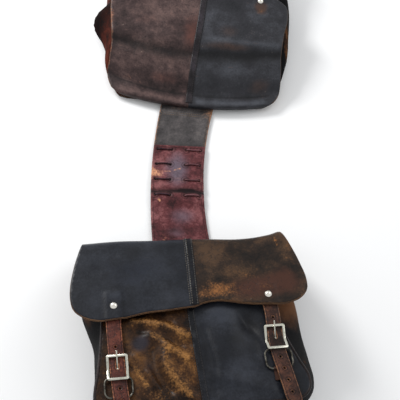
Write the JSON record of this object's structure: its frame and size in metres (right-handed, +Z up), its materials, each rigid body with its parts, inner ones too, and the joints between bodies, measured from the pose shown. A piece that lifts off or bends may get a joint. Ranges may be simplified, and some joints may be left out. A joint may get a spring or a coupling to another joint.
{
  "type": "motorcycle throw-over saddlebags",
  "caption": "Throw-over leather saddlebags with patchwork flaps, buckled straps on rings and a laced yoke, lying on their backs.",
  "frame": {"origin": "middle of the bounding box, on the floor that the back panels lie on", "axes": "+X along the ridges of the flaps, +Y from the near bag to the far bag, +Z up"},
  "size_m": [0.3484, 0.9942, 0.1166],
  "materials": {
    "black_leather": "worn",
    "blue_black_leather": "worn",
    "brown_leather": "worn",
    "dark_leather": "worn",
    "dull_steel": "dull",
    "grey_leather": "worn",
    "lace_leather": "worn",
    "nickel": "polished",
    "oxblood_leather": "worn",
    "strap_leather": "worn",
    "tan_lining": "suede"
  },
  "bodies": {
    "yoke": {"yoke_near_strap": "oxblood_leather", "yoke_far_strap": "grey_leather", "yoke_lace_left": "lace_leather", "yoke_lace_right": "lace_leather"},
    "near_bag": {"near_back_panel": "dark_leather", "near_front_left": "brown_leather", "near_front_right": "blue_black_leather", "near_front_seam_strip": "black_leather", "near_front_welt": "black_leather", "near_gusset_left": "black_leather", "near_gusset_bottom": "black_leather", "near_gusset_right": "black_leather", "near_ring_tabs": "strap_leather", "near_tab_rivets": "dull_steel"},
    "near_flap": {"near_flap_left": "black_leather", "near_flap_right": "brown_leather", "near_flap_seam_strip": "black_leather", "near_flap_lining": "tan_lining", "near_flap_snap_caps": "nickel", "near_flap_snap_sockets": "dull_steel"},
    "near_left_ring": {"near_left_ring": "dull_steel"},
    "near_left_strap_end": {"near_left_strap": "strap_leather", "near_left_snap_stud": "dull_steel", "near_left_chape": "strap_leather", "near_left_buckle_frame": "nickel"},
    "near_left_prong": {"near_left_buckle_prong": "nickel"},
    "near_right_ring": {"near_right_ring": "dull_steel"},
    "near_right_strap_end": {"near_right_strap": "strap_leather", "near_right_snap_stud": "dull_steel", "near_right_chape": "strap_leather", "near_right_buckle_frame": "nickel"},
    "near_right_prong": {"near_right_buckle_prong": "nickel"},
    "far_bag": {"far_back_panel": "dark_leather", "far_front_left": "dark_leather", "far_front_right": "blue_black_leather", "far_front_seam_strip": "black_leather", "far_front_welt": "black_leather", "far_gusset_left": "dark_leather", "far_gusset_bottom": "dark_leather", "far_gusset_right": "dark_leather", "far_ring_tabs": "strap_leather", "far_tab_rivets": "dull_steel"},
    "far_flap": {"far_flap_left": "blue_black_leather", "far_flap_right": "grey_leather", "far_flap_seam_strip": "black_leather", "far_flap_lining": "tan_lining", "far_flap_snap_caps": "nickel", "far_flap_snap_sockets": "dull_steel"},
    "far_left_ring": {"far_left_ring": "dull_steel"},
    "far_left_strap_end": {"far_left_strap": "strap_leather", "far_left_snap_stud": "dull_steel", "far_left_chape": "strap_leather", "far_left_buckle_frame": "nickel"},
    "far_left_prong": {"far_left_buckle_prong": "nickel"},
    "far_right_ring": {"far_right_ring": "dull_steel"},
    "far_right_strap_end": {"far_right_strap": "strap_leather", "far_right_snap_stud": "dull_steel", "far_right_chape": "strap_leather", "far_right_buckle_frame": "nickel"},
    "far_right_prong": {"far_right_buckle_prong": "nickel"}
  },
  "joints": [
    {"name": "near_bag_fold", "type": "hinge", "parent": "yoke", "child": "near_bag", "pos_m": [-0.01791, -0.17874, 0.003], "axis": [0.9925, 0.1219, 0], "range_deg": [-60, 100]},
    {"name": "near_flap_lift", "type": "hinge", "parent": "near_bag", "child": "near_flap", "pos_m": [-0.01791, -0.17874, 0.0058], "axis": [-0.9925, -0.1219, 0], "range_deg": [0, 95]},
    {"name": "near_left_ring_swing", "type": "hinge", "parent": "near_bag", "child": "near_left_ring", "pos_m": [-0.09933, -0.45924, 0.10758], "axis": [0.9925, 0.1219, 0], "range_deg": [0, 28.5]},
    {"name": "near_left_strap_swing", "type": "hinge", "parent": "near_left_ring", "child": "near_left_strap_end", "pos_m": [-0.10297, -0.42963, 0.10444], "axis": [-0.9925, -0.1219, 0], "range_deg": [0, 19]},
    {"name": "near_left_prong_lift", "type": "hinge", "parent": "near_left_strap_end", "child": "near_left_prong", "pos_m": [-0.10442, -0.41778, 0.10319], "axis": [0.9925, 0.1219, 0], "range_deg": [0, 40]},
    {"name": "near_right_ring_swing", "type": "hinge", "parent": "near_bag", "child": "near_right_ring", "pos_m": [0.12616, -0.40851, 0.10517], "axis": [0.9925, 0.1219, 0], "range_deg": [0, 28.5]},
    {"name": "near_right_strap_swing", "type": "hinge", "parent": "near_right_ring", "child": "near_right_strap_end", "pos_m": [0.12253, -0.37889, 0.10204], "axis": [-0.9925, -0.1219, 0], "range_deg": [0, 19]},
    {"name": "near_right_prong_lift", "type": "hinge", "parent": "near_right_strap_end", "child": "near_right_prong", "pos_m": [0.12059, -0.3631, 0.10036], "axis": [0.9925, 0.1219, 0], "range_deg": [0, 40]},
    {"name": "far_bag_fold", "type": "hinge", "parent": "yoke", "child": "far_bag", "pos_m": [-0.00391, 0.11926, 0.003], "axis": [-0.999, 0.0436, 0], "range_deg": [-85, 100]},
    {"name": "far_flap_lift", "type": "hinge", "parent": "far_bag", "child": "far_flap", "pos_m": [-0.00391, 0.11926, 0.0058], "axis": [0.999, -0.0436, 0], "range_deg": [0, 140]},
    {"name": "far_left_ring_swing", "type": "hinge", "parent": "far_bag", "child": "far_left_ring", "pos_m": [0.12568, 0.45094, 0.08703], "axis": [-0.999, 0.0436, 0], "range_deg": [0, 28]},
    {"name": "far_left_strap_swing", "type": "hinge", "parent": "far_left_ring", "child": "far_left_strap_end", "pos_m": [0.12439, 0.42143, 0.08182], "axis": [0.999, -0.0436, 0], "range_deg": [0, 19.6]},
    {"name": "far_left_prong_lift", "type": "hinge", "parent": "far_left_strap_end", "child": "far_left_prong", "pos_m": [0.12388, 0.40962, 0.07973], "axis": [-0.999, 0.0436, 0], "range_deg": [0, 40]},
    {"name": "far_right_ring_swing", "type": "hinge", "parent": "far_bag", "child": "far_right_ring", "pos_m": [-0.10509, 0.43835, 0.08303], "axis": [-0.999, 0.0436, 0], "range_deg": [0, 28]},
    {"name": "far_right_strap_swing", "type": "hinge", "parent": "far_right_ring", "child": "far_right_strap_end", "pos_m": [-0.10638, 0.40883, 0.07782], "axis": [0.999, -0.0436, 0], "range_deg": [0, 19.6]},
    {"name": "far_right_prong_lift", "type": "hinge", "parent": "far_right_strap_end", "child": "far_right_prong", "pos_m": [-0.10706, 0.39309, 0.07505], "axis": [-0.999, 0.0436, 0], "range_deg": [0, 40]}
  ],
  "couplings": [
    {"joint": "near_left_ring_swing", "follows": "near_flap_lift", "ratio": 0.3},
    {"joint": "near_left_strap_swing", "follows": "near_flap_lift", "ratio": 0.2},
    {"joint": "near_right_ring_swing", "follows": "near_flap_lift", "ratio": 0.3},
    {"joint": "near_right_strap_swing", "follows": "near_flap_lift", "ratio": 0.2},
    {"joint": "far_left_ring_swing", "follows": "far_flap_lift", "ratio": 0.2},
    {"joint": "far_left_strap_swing", "follows": "far_flap_lift", "ratio": 0.14},
    {"joint": "far_right_ring_swing", "follows": "far_flap_lift", "ratio": 0.2},
    {"joint": "far_right_strap_swing", "follows": "far_flap_lift", "ratio": 0.14}
  ]
}
